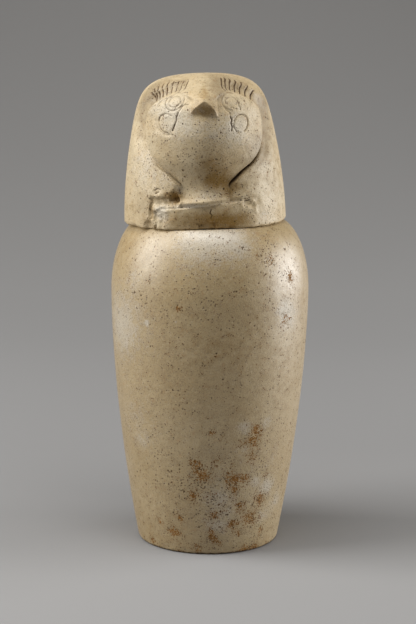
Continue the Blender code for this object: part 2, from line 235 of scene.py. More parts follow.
# Lines cut freely, as jointed lines of places aside and up.
THIN_LINES = (
    ((-0.15, 1.49), (-0.19, 1.49), (-0.21, 1.47), (-0.25, 1.40)),
    ((0.20, 1.43), (0.22, 1.41), (0.25, 1.38), (0.25, 1.35)),
    ((0.27, 1.61), (0.34, 1.60), (0.41, 1.58)),
    ((0.34, 1.55), (0.35, 1.45), (0.37, 1.43), (0.36, 1.41)),
    ((0.26, 1.46), (0.29, 1.43)),
    ((-0.39, 1.57), (-0.43, 1.54), (-0.48, 1.48)),
    ((0.46, 1.54), (0.49, 1.50)),
)
DEEP_LINES = (
    ((-0.25, 1.40), (-0.27, 1.35), (-0.275, 1.31), (-0.30, 1.25), (-0.325, 1.19)),
    ((0.25, 1.34), (0.27, 1.30), (0.26, 1.26), (0.275, 1.22), (0.27, 1.17)),
)
SCRATCHES = (
    ((0.06, 0.24), (0.04, 0.20), (0.07, 0.17), (0.05, 0.13)),
    ((-0.62, 0.47), (-0.58, 0.49), (-0.55, 0.48)),
    ((-0.61, 0.43), (-0.57, 0.45)),
    ((0.47, 0.32), (0.53, 0.33)),
)
# The brow's strokes: how many, how they crowd outwards, and for their tops, bends and
# feet: place aside, run aside, place up, drop and the power of the drop.
RIGHT_BROW = (
    (7, 1.0),
    (0.360, 0.310, 1.760, 0.150, 2.2),
    (0.262, 0.390, 1.690, 0.110, 2.0),
    (0.250, 0.385, 1.635, 0.130, 2.0),
)
LEFT_BROW = (
    (9, 1.6),
    (-0.240, -0.425, 1.740, 0.130, 3.0),
    (-0.238, -0.400, 1.700, 0.130, 2.0),
    (-0.240, -0.380, 1.655, 0.140, 1.0),
)
# Which shares of a brow's strokes are cut, and the points along an arc and a stroke.
LEFT_DASHES = ((0.0, 0.34), (0.50, 1.0))
RIGHT_DASHES = ((0.0, 1.0),)
ARC_POINTS = 25
STROKE_POINTS = 5

# Stains on the head, with painted shade under the beak and face and in its hollows: middle aside and
# up, half width and height, amount.
HEAD_STAINS_AND_SHADE = (
    (0.090, 0.800, 0.170, 0.230, 0.52),
    (0.120, 0.560, 0.150, 0.100, 0.45),
    (0.330, 0.440, 0.180, 0.120, 0.55),
    (-0.390, 0.400, 0.110, 0.100, 0.95),
    (0.000, 0.120, 0.560, 0.120, 0.72),
    (0.300, 0.080, 0.250, 0.090, 0.50),
    (0.010, 1.640, 0.045, 0.090, 0.55),
    (0.000, 1.420, 0.130, 0.080, 1.00),
    (-0.665, 0.200, 0.030, 0.120, 0.45),
    (0.200, 0.620, 0.300, 0.160, 0.35),
    (-0.660, 1.600, 0.080, 0.080, 0.35),
    (0.880, 0.780, 0.100, 0.300, 0.25),
    (-0.640, 0.330, 0.160, 0.140, 0.20),
)
# Grey-brown painted shade on the head, on its right side, its edges and under the beak, in the same
# terms.
HEAD_GREY_SHADE = (
    (0.380, 1.720, 0.300, 0.110, 0.90),
    (0.160, 1.600, 0.130, 0.140, 0.60),
    (-0.420, 1.720, 0.240, 0.060, 0.60),
    (-0.680, 1.600, 0.120, 0.150, 0.95),
    (-0.790, 1.330, 0.070, 0.220, 0.45),
    (0.800, 1.420, 0.110, 0.220, 0.95),
    (0.740, 0.950, 0.140, 0.260, 0.60),
    (0.000, 1.430, 0.120, 0.070, 0.60),
    (0.550, 0.850, 0.180, 0.280, 0.55),
    (0.850, 0.450, 0.160, 0.260, 0.35),
    (-0.780, 0.300, 0.140, 0.200, 0.45),
    (-0.300, 1.620, 0.200, 0.080, 0.30),
)
# Whiter places on the head, in the same terms: rubbed stone, and painted highlights on the cheeks,
# the neck and the ledge.
HEAD_BLOOM_AND_HIGHLIGHT = (
    (-0.740, 0.760, 0.180, 0.280, 0.5),
    (-0.250, 1.280, 0.200, 0.240, 0.7),
    (0.280, 1.180, 0.200, 0.260, 0.7),
    (0.000, 1.180, 0.140, 0.140, 0.3),
    (0.000, 0.420, 0.240, 0.090, 0.5),
    (-0.560, 0.200, 0.090, 0.110, 0.9),
    (-0.250, 0.290, 0.200, 0.030, 0.6),
    (-0.480, 1.480, 0.250, 0.200, 0.4),
    (-0.330, 0.480, 0.060, 0.060, 0.5),
    (0.700, 0.120, 0.080, 0.090, 0.6),
    (-0.500, 0.600, 0.120, 0.120, 0.4),
)
# Where the head is thickly pitted, in the same terms.
HEAD_PITTED = (
    (0.030, 0.950, 0.350, 0.350, 1.0),
    (0.400, 0.500, 0.400, 0.300, 0.8),
)
# What the head has everywhere and in its broken places, and the stains and painted shade in the
# channel round the brow.
HEAD_PITTED_ALL = 0.25
ROUGH_PITTED = 0.50
CHANNEL_STAIN_AND_SHADE = 0.15
CHANNEL_GREY_SHADE = 0.30

# Rust on the jar: turn in degrees, height and size in millimetres, and amount.
JAR_RUST = (
    (-9, 67, 4.5, 0.8), (-4, 60, 7.0, 1.0), (-10, 44, 5.0, 0.9), (1, 91, 4.0, 0.7),
    (6, 71, 4.0, 0.6), (8, 85, 3.5, 0.4), (31, 91, 4.0, 0.9), (31, 83, 5.5, 0.9),
    (23, 81, 4.0, 0.6), (29, 71, 5.0, 0.6), (15, 57, 5.5, 1.0), (25, 56, 5.0, 0.9),
    (18, 48, 5.5, 0.8), (16, 66, 3.5, 0.6), (42, 56, 4.0, 0.5), (40, 38, 6.0, 0.9),
    (3, 45, 4.0, 0.7), (4, 29, 4.0, 0.9), (12, 35, 5.0, 0.5), (23, 35, 4.5, 0.8),
    (32, 25, 6.5, 1.0), (18, 22, 5.0, 0.9), (24, 15, 3.5, 0.9), (45, 14, 4.0, 0.8),
    (3, 16, 4.0, 0.8), (8, 10, 4.0, 0.8), (31, 1, 5.0, 1.0), (40, 1, 4.0, 1.0),
    (-8, 4, 4.5, 0.7), (-39, 22, 3.0, 0.9), (-21, 26, 2.5, 1.0), (-28, 15, 5.0, 1.0),
    (-50, 5, 3.0, 0.9), (-18, 177, 3.0, 0.8), (53, 194, 5.5, 0.7), (39, 207, 5.0, 0.6),
    (49, 166, 5.0, 0.8), (29, 211, 2.5, 0.5), (-30, 75, 3.5, 0.3),
)
# Where single dark pits lie scattered, in degrees and millimetres: middle turn and height,
# the spread of both, and how many; then the sizes from which theirs are drawn.
PIT_PLACES = (
    (-10, 178, 14, 12, 18),
    (-36, 170, 9, 16, 10),
    (28, 198, 14, 9, 14),
    (42, 214, 7, 4, 7),
    (22, 150, 16, 12, 12),
    (4, 118, 22, 8, 5),
    (-18, 55, 8, 9, 16),
    (-44, 50, 10, 12, 7),
    (0, 26, 12, 9, 14),
    (30, 28, 16, 12, 12),
    (-64, 12, 8, 6, 3),
)
PIT_SIZES = (0.40, 0.65)
PIT_SEED = 31
# Grey and whitish patina on the jar, in the same terms as its rust.
JAR_BLOOM = (
    (22, 93, 6.0, 0.6), (23, 78, 4.0, 0.4), (6, 44, 9.0, 0.4), (7, 23, 9.0, 0.4),
    (15, 33, 6.0, 0.2), (45, 47, 6.0, 0.7), (38, 96, 5.0, 0.5), (58, 33, 7.0, 0.5),
    (46, 173, 7.0, 0.5), (-38, 164, 1.6, 1.3), (-48, 193, 8.0, 0.3), (-47, 79, 6.0, 0.3),
    (34, 53, 4.0, 0.3), (46, 25, 6.0, 0.4), (-19, 167, 1.0, 0.9),
)
# Broad patches of the same patina, and painted highlights on the shoulder under the lid.
JAR_WORN_AND_HIGHLIGHT = (
    (-6, 222, 20.0, 0.85),
    (18, 219, 14.0, 0.60),
    (-62, 160, 28.0, 0.75),
    (-55, 95, 24.0, 0.35),
    (52, 168, 12.0, 0.65),
    (42, 60, 26.0, 0.22),
    (5, 42, 28.0, 0.22),
    (25, 25, 16.0, 0.10),
)
# Where the jar is thickly pitted, in the same terms.
JAR_PITTED = (
    (20, 40, 30.0, 0.9),
    (45, 35, 22.0, 1.0),
    (-10, 40, 22.0, 0.6),
    (-30, 25, 18.0, 0.4),
    (30, 75, 18.0, 0.5),
    (50, 190, 18.0, 0.6),
    (38, 210, 16.0, 0.6),
    (0, 190, 24.0, 0.3),
    (-30, 180, 22.0, 0.25),
)
# What the jar has everywhere.
JAR_STAIN = 0.15
JAR_PITTED_ALL = 0.14

# Grains that are added up to roughen the stones: size in metres, seed and amount.
HEAD_WAVES = ((0.0110, 3, 1.0), (0.0050, 4, 0.5))
HEAD_CRUMBS = ((0.0021, 5, 0.6), (0.0011, 6, 0.4))
BREAK_RAGGEDNESS = ((0.0040, 7, 0.020), (0.0016, 10, 0.009))
LINE_UNSTEADINESS = ((0.0018, 8, 0.35),)
EDGE_CHIPS = ((0.0085, 9, 1.0), (0.0035, 21, 0.7))
ROUGH_LUMPS = ((0.0035, 22, 1.0),)
JAR_WAVES = ((0.0210, 11, 0.6), (0.0090, 12, 0.4))
JAR_CRUMBS = ((0.0018, 13, 1.0),)
FOOT_CHIPS = ((0.0040, 14, 1.0),)
FOOT_RUST_CLOUDS = ((0.0070, 15, 1.0),)
JAR_STAIN_CLOUDS = ((0.0300, 16, 0.25),)
LATTICE = 32

# How deep the head is worn, in shares of its radius: by waves, which add up to their peak at
# most, by crumbs and in its broken places, which carry crumbs on lumps and lie a bit lower.
HEAD_WAVE_DEPTH = 0.0045
HEAD_WAVE_PEAK = 1.5
HEAD_CRUMB_DEPTH = 0.0012
ROUGH_DEPTH = 0.0160
ROUGH_CRUMBS = 0.6
ROUGH_SINKING = 0.6
# The breaks' edges are as ragged upwards as aside, some columns on and times a share.
RAGGED_COLUMNS = 9
RAGGED_SHARE = 0.8
# The groove's painted shadow: how much is even, and how much the crumbs change it.
GROOVE_SHADOW_MIX = (0.8, 0.4)

# How deep the jar is worn, in metres: by waves, in pits, under rust and in chips at its foot.
JAR_WAVE_DEPTH = 0.00012
JAR_PIT_DEPTH = 0.00020
JAR_RUST_DEPTH = 0.00030
FOOT_CHIP_DEPTH = 0.00060
# How much of the rust's depth, and of the rust at the foot, is even.
RUST_DEPTH_EVEN = 0.6
FOOT_RUST_EVEN = 0.5
# How far the wear takes to come in, outwards from the mouth and up from the ground.
MOUTH_FADE = 0.0120
GROUND_FADE = 0.0015
# How high the foot is chipped, rusty and darker, and how much rust and darkening it has.
FOOT_CHIPS_TOP = 0.0060
FOOT_RUST_TOP = 0.0050
FOOT_DARKENING_TOP = 0.0022
FOOT_RUST = 0.55
FOOT_DARKENING = 0.60

# How finely the stones are gridded: columns over the front and the back, and rows.
LID_FRONT = np.radians(60)
LID_COLUMNS = (290, 50)
LID_ROWS = 255
# The share of the lid's height, from its top down, whose rows crowd towards the crown.
CROWN_SHARE = 0.14
CROWN_CROWDING = 2.2
JAR_FRONT = np.radians(85)
JAR_COLUMNS = (290, 60)
# Rows up the jar's wall and shoulder, and how many of them are the wall's.
JAR_ROWS = 245
WALL_ROWS = 176
FOOT_ROWS = 6
VAULT_ROWS = 8
INSIDE_ROWS = 8
FLOOR_ROWS = 5
# Halvings that find where the rim cuts the shoulder, and millimetres in a metre.
HALVINGS = 24
MILLIMETRES = 1000

# The camera stands where the photograph was taken from.
CAMERA_PLACE = (-0.0012, -1.2457, 0.3928)
CAMERA_PITCH = np.radians(10.5)
CAMERA_ROLL = np.radians(0.5)
CAMERA_LENS = 103.85
CAMERA_SENSOR = 36.0


def blend(low, high, value):
    """Goes smoothly from 0 at low to 1 at high: three squares less two cubes of the share."""
    share = np.clip((value - low) / (high - low), 0.0, 1.0)
    return share * share * (3.0 - 2.0 * share)


def bump(distance):
    """A bell curve: 1 at no distance, and near 0 from a distance of 2 on."""
    return np.exp(-(distance**2))


def smooth_through(points, at):
    """A curve through the points with no overshoot: cubic pieces with limited slopes."""
    places, heights = np.array(points, float).T
    steps = np.diff(places)
    slopes = np.diff(heights) / steps
    before, after = slopes[:-1], slopes[1:]
    same_way = before * after > 0
    inner = np.where(same_way, 2 * before * after / np.where(same_way, before + after, 1), 0)
    tangents = np.concatenate([[0.0], inner, [0.0]])
    at = np.clip(at, places[0], places[-1])
    piece = np.clip(np.searchsorted(places, at, side="right") - 1, 0, len(steps) - 1)
    step = steps[piece]
    s = (at - places[piece]) / step
    start = heights[piece] * (1 + 2 * s) * (1 - s) ** 2
    end = heights[piece + 1] * s**2 * (3 - 2 * s)
    leave = tangents[piece] * step * s * (1 - s) ** 2
    arrive = tangents[piece + 1] * step * s**2 * (s - 1)
    return start + end + leave + arrive


def grain(points, size, seed):
    """Smooth random values from -1 to 1: a seeded lattice of numbers, blended over each cell."""
    lattice = np.random.default_rng(seed).uniform(-1, 1, (LATTICE, LATTICE, LATTICE))
    scaled = points / size
    cell = np.floor(scaled).astype(int)
    share = scaled - cell
    share = share * share * (3 - 2 * share)
    total = 0
    for corner in np.ndindex(2, 2, 2):
        weight = np.prod(np.where(corner, share, 1 - share), axis=-1)
        x, y, z = np.moveaxis((cell + corner) % LATTICE, -1, 0)
        total = total + weight * lattice[x, y, z]
    return total


def grains(points, mixture):
    """Grains of several sizes, each times its amount, added up."""
    return sum(amount * grain(points, size, seed) for size, seed, amount in mixture)


def uneven_turns(front, counts):
    """Turns round the axis that crowd over the front, from one side's edge right round."""
    near = np.linspace(-front, front, counts[0], endpoint=False)
    far = np.linspace(front, 2 * np.pi - front, counts[1], endpoint=False)
    return np.concatenate([near, far])


def around(radius, turn, height):
    """Points at a radius and a height, turned from the front (-Y) towards +X."""
    spread = np.broadcast_arrays(radius * np.sin(turn), -radius * np.cos(turn), height)
    return np.stack(spread, axis=-1)


def on_rim(points):
    """Turns points from the rim's own plane into the frame: tilted about Y, then lifted."""
    cos, sin = np.cos(RIM_TILT), np.sin(RIM_TILT)
    x, y, z = np.moveaxis(points, -1, 0)
    return np.stack([x * cos + z * sin, y, RIM_HEIGHT - x * sin + z * cos], axis=-1)


def stone_piece(name, rings, ends, masks):
    """A closed mesh of rings joined by quads, with a fan to a point at each end."""
    rows, columns = rings.shape[:2]
    points = np.concatenate([rings.reshape(-1, 3), np.array(ends, float)])
    index = np.arange(rows * columns).reshape(rows, columns)
    beside = np.roll(index, -1, axis=1)
    quads = np.stack([index[:-1], beside[:-1], beside[1:], index[1:]], axis=-1).reshape(-1, 4)
    first, last = rows * columns, rows * columns + 1
    pole = 0 * index[0]
    fans = [
        np.stack([pole + first, beside[0], index[0]], axis=-1),
        np.stack([index[-1], beside[-1], pole + last], axis=-1),
    ]
    faces = quads.tolist() + np.concatenate(fans).tolist()
    mesh = bpy.data.meshes.new(name)
    mesh.from_pydata(points, [], faces)
    for mask, values in masks.items():
        attribute = mesh.attributes.new(mask, "FLOAT", "POINT")
        padded = np.concatenate([np.ravel(values), np.zeros(2)])
        attribute.data.foreach_set("value", padded.astype(np.float32))
    mesh.shade_smooth()
    piece = bpy.data.objects.new(name, mesh)
    bpy.context.scene.collection.objects.link(piece)
    return piece


# The lid.
def hood_share(level):
    """The hood's radius without its crown, as a share: it tapers as a power of the height."""
    return 1 - HOOD_TAPER * (level / TAPER_TO) ** TAPER_POWER


def crown_share(level):
    """How the hood closes over the top, along a squared-off oval."""
    return np.clip(1 - level**CROWN_SQUARENESS, 0, 1) ** (1 / CROWN_ROUNDNESS)


def past_outline(aside, up):
    """How far a point lies outside the face's outline, its share of the reach, and its turn."""
    reach = np.hypot(aside, up - FACE_MIDDLE)
    turn = np.degrees(np.arctan2(np.abs(aside), up - FACE_MIDDLE))
    outline = smooth_through(FACE_OUTLINE, turn)
    return reach - outline, reach / outline, turn


def face_relief(aside, up):
    """The keel and the edge less throat, channel, groove and chest; the channel; the groove's painted
    shadow.
    """
    outside, share, turn = past_outline(aside, up)
    half_width = smooth_through(FACE_HALF_WIDTH, up)
    crest = KEEL_ROUNDING * (KEEL_ROUNDING_BELOW + blend(*KEEL_ROUNDED_FROM, up))
    off_keel = np.clip((np.hypot(aside, crest) - crest) / half_width, 0, 1) ** FACE_KEEL_POWER
    keel = smooth_through(FACE_KEEL, up) * (1 - off_keel)
    flare = NECK_FLARE * (1 - blend(*NECK_FLARE_ENDS, up))
    inside = 1 - blend(-FACE_EDGE_WIDTH, flare, outside)
    throat = smooth_through(THROAT_BACK, up) * (1 - blend(0.0, flare + THROAT_EDGE, outside))
    edge = FACE_EDGE * blend(*FACE_EDGE_TURNS, turn) * (1 - blend(*FACE_EDGE_ENDS, turn))
    wall = blend(*CHANNEL_WALL, outside)
    rim = 1 - blend(CHANNEL_WIDTH, 2 * CHANNEL_WIDTH, outside)
    hollow = blend(*CHANNEL_TURNS, turn) * (1 - blend(*CHANNEL_ENDS, turn)) * wall * rim
    lower = blend(*GROOVE_TURNS, turn)
    line = bump((outside - GROOVE_WIDTH / 2) / GROOVE_WIDTH) * blend(*GROOVE_ENDS, up)
    groove = np.where(aside < 0, *GROOVE_DEPTHS) * line
    chest = np.where(aside < 0, *CHEST_HOLLOWS) * bump(outside / CHEST_HOLLOW_WIDTH)
    chest_edge = blend(-CHEST_HOLLOW_EDGE, CHEST_HOLLOW_EDGE + flare, outside)
    chest = chest * (1 - blend(*CHEST_HOLLOW_TOP, up)) * chest_edge
    relief = inside * (edge * share**2 + keel) - throat - CHANNEL_DEPTH * hollow
    # A painted shadow in the groove, strongest on the right.
    groove_shadow = lower * np.where(aside < 0, *GROOVE_SHADOW) * line
    return relief - lower * (groove + chest), hollow, groove_shadow


def beak_relief(aside, up):
    """The lower of two slopes: a ridge that widens up to the brow, and the facet under it."""
    rising = blend(BEAK_TIP, BEAK_RIDGE_TOP, up)
    half_width = BEAK_HALF_WIDTH + BEAK_RIDGE_SPREAD * rising
    crest = BEAK_CREST_ROUNDING * (1 + BEAK_CREST_WIDENING * rising)
    off_crest = np.hypot(aside, crest) - crest
    side_width = BEAK_SIDE_WIDTH * (1 + BEAK_SIDE_WIDENING * rising)
    side = 1 - blend(half_width, half_width + side_width, off_crest)
    ridge = BEAK_FORWARD * (1 - BEAK_SLOPE * off_crest / half_width) * side * (1 - rising)
    root = BEAK_ROOT + BEAK_ROOT_SLANT * aside
    under = BEAK_FORWARD * (up - root) / (BEAK_TIP - root)
    return np.clip(np.minimum(ridge, under), 0, None)


def ledge_line(aside):
    """The height of the ledge's front edge, a straight slant."""
    return LEDGE_HEIGHT + LEDGE_SLANT * aside


def ledge_relief(aside, up, relief):
    """The relief with the ledge put in: its flat front, and the step back above it."""
    line = ledge_line(aside)
    top = line + LEDGE_RISE
    on_ledge = 1 - blend(LEDGE_HALF_WIDTH, LEDGE_HALF_WIDTH + LEDGE_TO_LAPPET, np.abs(aside))
    inward = np.clip(1 - (aside / LEDGE_HALF_WIDTH) ** 2, 0, 1) ** LEDGE_END_POWER
    above = blend(line, top, up)
    step = LEDGE_STEP * (1 - blend(top, top + LEDGE_STEP_FADE, up))
    lean_in = LEDGE_LEAN_IN * np.clip(1 - up / line, 0, 1) ** LEDGE_LEAN_POWER
    front = inward * (LEDGE_FLATNESS + lean_in)
    bar = above * (relief - step * np.sqrt(inward)) - (1 - above) * front
    return relief * (1 - on_ledge) + bar * on_ledge


def ovals(across, up, places):
    """How strongly oval places cover each point: a bell curve out from each one's middle."""
    total = 0 * across
    for middle, height, half_width, half_height, amount in places:
        far = ((across - middle) / half_width) ** 2 + ((up - height) / half_height) ** 2
        total = total + amount * np.exp(-far)
    return total


def from_lines(aside, up, lines):
    """The distance to the nearest of some jointed lines, by dropping on to each straight."""
    nearest = np.full(aside.shape, np.inf)
    for line in lines:
        for (x, y), (end_x, end_y) in zip(line[:-1], line[1:]):
            run, rise = end_x - x, end_y - y
            share = ((aside - x) * run + (up - y) * rise) / (run**2 + rise**2)
            share = np.clip(share, 0, 1)
            nearest = np.minimum(nearest, np.hypot(aside - x - share * run, up - y - share * rise))
    return nearest


def arc_lines(arcs):
    """Arcs of leaning ovals as jointed lines: cosine and sine of each turn, then leant over."""
    lines = []
    for aside, up, half_long, half_short, lean, start, end in arcs:
        turns = np.radians(np.linspace(start, end, ARC_POINTS))
        along, across = half_long * np.cos(turns), half_short * np.sin(turns)
        cos, sin = np.cos(np.radians(lean)), np.sin(np.radians(lean))
        places = (aside + along * cos - across * sin, up + along * sin + across * cos)
        lines.append(np.stack(places, axis=-1))
    return lines


def brow_lines(brow, dashes):
    """Strokes along a brow, each a three-point curve from top to foot, cut into dashes."""
    (count, crowding), *rows = brow
    share = np.linspace(0, 1, count)[:, None]
    spread = 1 - (1 - share) ** crowding
    top, bend, foot = [
        np.concatenate([aside + run * spread, up - drop * share**power], axis=-1)
        for aside, run, up, drop, power in rows
    ]
    lines = []
    for start, end in dashes:
        t = np.linspace(start, end, STROKE_POINTS)[None, :, None]
        ends = (1 - t) ** 2 * top[:, None] + t**2 * foot[:, None]
        lines.extend(ends + 2 * t * (1 - t) * bend[:, None])
    return lines


def carved_lines():
    """Every line cut into the head, with its half width, depth and how dark it is painted."""
    return (
        (arc_lines(EYE_RINGS), 0.0080, 0.0085, 0.42),
        (arc_lines(CHEEK_LOOPS), 0.0085, 0.0095, 0.46),
        (arc_lines(CHEEK_TROUGHS), 0.0180, 0.0080, 0.20),
        (THIN_LINES, 0.0070, 0.0070, 0.42),
        (DEEP_LINES, 0.0080, 0.0100, 0.75),
        (brow_lines(LEFT_BROW, LEFT_DASHES), 0.0070, 0.0110, 0.85),
        (brow_lines(RIGHT_BROW, RIGHT_DASHES), 0.0080, 0.0150, 1.00),
        (SCRATCHES, 0.0070, 0.0070, 0.70),
    )


def break_relief(aside, up):
    """The places where stone has broken away, as sunken boxes with soft edges."""
    relief = 0 * aside
    for left, right, bottom, top, depth, edge in BREAKS:
        across = blend(left, left + edge, aside) * (1 - blend(right - edge, right, aside))
        upward = blend(bottom, bottom + edge, up) * (1 - blend(top - edge, top, up))
        relief = relief - depth * across * upward
    return relief


def line_marks(aside, up, block):
    """The carved lines' depths and darkness: a bell curve across each line, the strongest kept."""
    unsteady = 1 + grains(block, LINE_UNSTEADINESS)
    marks, dirt = 0 * aside, 0 * aside
    for lines, half_width, depth, dark in carved_lines():
        groove = bump(from_lines(aside, up, lines) / half_width) * unsteady
        marks = np.minimum(marks, -depth * groove)
        dirt = np.maximum(dirt, dark * groove)
    return marks, dirt


def edge_loss(block, height):
    """What is off the radius near the lid's lower edge: a quarter round that chips enlarge."""
    even, more = EDGE_CHIPPING
    rounding = EDGE_ROUNDING * (even + more * np.clip(grains(block * [1, 1, 0], EDGE_CHIPS), 0, 1))
    near_edge = np.clip(1 - height / rounding, 0, 1)
    return rounding * (1 - np.sqrt(1 - near_edge**2))


def head_masks(aside, up, front, dirt, channel, rough):
    """Where the head has soiling, stains, wear and pits, and where shade and highlights are painted,
    from 0 to 1.
    """
    on_ledge = np.abs(aside) < LEDGE_HALF_WIDTH
    # Stains with painted shade, grey-brown painted shade, and rubbed places with painted highlights,
    # the ledge's top edge among them.
    ledge_edge = on_ledge * bump((up - ledge_line(aside) - LEDGE_RISE) / LEDGE_EDGE_WIDTH)
    stain = ovals(aside, up, HEAD_STAINS_AND_SHADE) + CHANNEL_STAIN_AND_SHADE * channel
    grime = ovals(aside, up, HEAD_GREY_SHADE) + CHANNEL_GREY_SHADE * channel
    bloom = ovals(aside, up, HEAD_BLOOM_AND_HIGHLIGHT) + LEDGE_EDGE_HIGHLIGHT * ledge_edge
    pitted = HEAD_PITTED_ALL + ovals(aside, up, HEAD_PITTED) * front + ROUGH_PITTED * rough
    return {
        "dirt": np.clip(dirt, 0, 1) * front,
        "stain": np.clip(stain, 0, 1) * front,
        "grime": np.clip(grime, 0, 1) * front,
        "rust": 0 * aside,
        "bloom": np.clip(bloom, 0, 1) * front,
        "pitted": np.clip(pitted, 0, 1),
    }


def head_surface(turn, level):
    """The carved head: the hood's radius plus the relief, which fades at sides and crown."""
    aside = np.sin(turn) * hood_share(level)
    height = level * HEAD_HEIGHT
    up = height / HEAD_RADIUS + 0 * turn
    front = blend(0.0, FRONT_FADE, np.cos(turn))
    block = around(HEAD_RADIUS * hood_share(level), turn, height)
    waves = grains(block, HEAD_WAVES) / HEAD_WAVE_PEAK
    crumbs = grains(block, HEAD_CRUMBS)
    face, channel, groove_shadow = face_relief(aside, up)
    relief = ledge_relief(aside, up, face + beak_relief(aside, up))
    ragged = grains(block, BREAK_RAGGEDNESS)
    ragged_up = RAGGED_SHARE * np.roll(ragged, RAGGED_COLUMNS, axis=1)
    relief = relief + break_relief(aside + ragged, up + ragged_up)
    rough = np.clip(ovals(aside, up, ROUGH_PLACES), 0, 1) * (np.cos(turn) > 0)
    lumps = grains(block, ROUGH_LUMPS) + ROUGH_CRUMBS * crumbs
    marks, dirt = line_marks(aside, up, block)
    relief = relief + marks * front + ROUGH_DEPTH * rough * (lumps - ROUGH_SINKING)
    relief = relief - HEAD_WAVE_DEPTH * (1 + waves) - HEAD_CRUMB_DEPTH * (1 + crumbs)
    crown = crown_share(level)
    radius = HEAD_RADIUS * (hood_share(level) * crown + relief * front * np.sqrt(crown))
    points = around(radius - edge_loss(block, height), turn + HEAD_TURN, height)
    points[..., 1] *= HEAD_DEPTH_SHARE
    # The groove's painted shadow joins the darkness of the carved lines.
    even, changed = GROOVE_SHADOW_MIX
    dirt = np.maximum(dirt, groove_shadow * (even + changed * crumbs))
    return points, head_masks(aside, up, front, dirt, channel, rough)


def head_levels():
    """The heights of the head's rows, even up the sides and closer over the crown."""
    share = np.linspace(0, 1, LID_ROWS, endpoint=False)
    crown = 1 - CROWN_SHARE * ((1 - share) / CROWN_SHARE) ** CROWN_CROWDING
    return np.where(share < 1 - CROWN_SHARE, share, crown)


def make_lid(stone):
    """The head on its flat underside, and the plug, which is centred on the jar's mouth."""
    turn = uneven_turns(LID_FRONT, LID_COLUMNS)
    head, masks = head_surface(turn[None, :], head_levels()[:, None])
    plug = [
        around(PLUG_RADIUS - PLUG_ROUNDING, turn, -PLUG_DEPTH),
        around(PLUG_RADIUS, turn, PLUG_ROUNDING - PLUG_DEPTH),
        around(PLUG_RADIUS, turn, 0.0),
    ]
    mouth = np.array([-LID_SHIFT, 0.0, 0.0])
    seat = np.array([LID_SHIFT, 0.0, SEAT_GAP])
    rings = on_rim(np.concatenate([np.stack(plug) + mouth, head]) + seat)
    ends = on_rim(np.stack([[0.0, 0.0, -PLUG_DEPTH], seat + [0.0, 0.0, HEAD_HEIGHT]]))
    plain = np.zeros((len(plug), len(turn)))
    masks = {name: np.concatenate([plain, mask]) for name, mask in masks.items()}
    lid = stone_piece("carved_lid", rings, ends, masks)
    lid.data.materials.append(stone)
    return lid


# The jar.
def wall_radius(height):
    """The outer radius between foot and belly: a power of the share of height still to go."""
    spread = BELLY_RADIUS - FOOT_RADIUS
    return BELLY_RADIUS - spread * np.clip(1 - height / BELLY_HEIGHT, 0, 1) ** BELLY_FULLNESS


def shoulder(t):
    """The shoulder's cubic curve, which leaves the belly upright and would end level."""
    top = (SHOULDER_TOP_RADIUS, RIM_HEIGHT + SHOULDER_ABOVE_RIM)
    belly = (BELLY_RADIUS, BELLY_HEIGHT)
    above_belly = (BELLY_RADIUS, BELLY_HEIGHT + SHOULDER_RISE)
    beside_top = (top[0] + SHOULDER_REACH, top[1])
    places = (belly, above_belly, beside_top, top)
    weights = ((1 - t) ** 3, 3 * (1 - t) ** 2 * t, 3 * (1 - t) * t**2, t**3)
    return [sum(weight * place[i] for weight, place in zip(weights, places)) for i in (0, 1)]


def rim_height(radius, turn):
    """The height of the rim's plane over a place."""
    return RIM_HEIGHT - radius * np.sin(turn) * np.tan(RIM_TILT)


def shoulder_end(turn):
    """How far along the shoulder's curve the rim's plane cuts it, found by halving."""
    low, high = 0 * turn, 0 * turn + 1
    for _ in range(HALVINGS):
        middle = (low + high) / 2
        radius, height = shoulder(middle)
        below = height < rim_height(radius, turn)
        low, high = np.where(below, middle, low), np.where(below, high, middle)
    return low


def jar_surface(turn):
    """The jar's rings from under its foot, up the outside, over the rim and down the inside."""
    foot_turn = np.radians(np.linspace(-90, 0, FOOT_ROWS, endpoint=False))[:, None]
    foot_radius = wall_radius(FOOT_ROUNDING) - FOOT_ROUNDING * (1 - np.cos(foot_turn))
    foot = around(foot_radius, turn, FOOT_ROUNDING * (1 + np.sin(foot_turn)))
    height = np.linspace(FOOT_ROUNDING, BELLY_HEIGHT, WALL_ROWS, endpoint=False)[:, None]
    wall = around(wall_radius(height), turn, height)
    share = np.linspace(0, 1, JAR_ROWS - WALL_ROWS)[:, None]
    radius, height = shoulder(share * shoulder_end(turn))
    top = around(radius, turn, height)
    mouth = around(MOUTH_RADIUS, turn, rim_height(MOUTH_RADIUS, turn))
    neck_height = RIM_HEIGHT - MOUTH_DEPTH
    t = np.linspace(0, np.pi / 2, VAULT_ROWS)[:, None]
    inner_belly = BELLY_RADIUS - WALL
    vault_radius = MOUTH_RADIUS + (inner_belly - MOUTH_RADIUS) * np.sin(t) ** VAULT_POWER
    vault = around(vault_radius, turn, BELLY_HEIGHT + (neck_height - BELLY_HEIGHT) * np.cos(t))
    height = np.linspace(BELLY_HEIGHT, FLOOR + FLOOR_ROUNDING, INSIDE_ROWS)[1:, None]
    inside = around(wall_radius(height) - WALL, turn, height)
    corner = np.radians(np.linspace(0, 90, FLOOR_ROWS))[1:, None]
    inner_foot = wall_radius(FLOOR + FLOOR_ROUNDING) - WALL - FLOOR_ROUNDING
    floor_radius = inner_foot + FLOOR_ROUNDING * np.cos(corner)
    floor = around(floor_radius, turn, FLOOR + FLOOR_ROUNDING * (1 - np.sin(corner)))
    outside = np.concatenate([foot, wall, top])
    return outside, np.concatenate([mouth, vault, inside, floor])


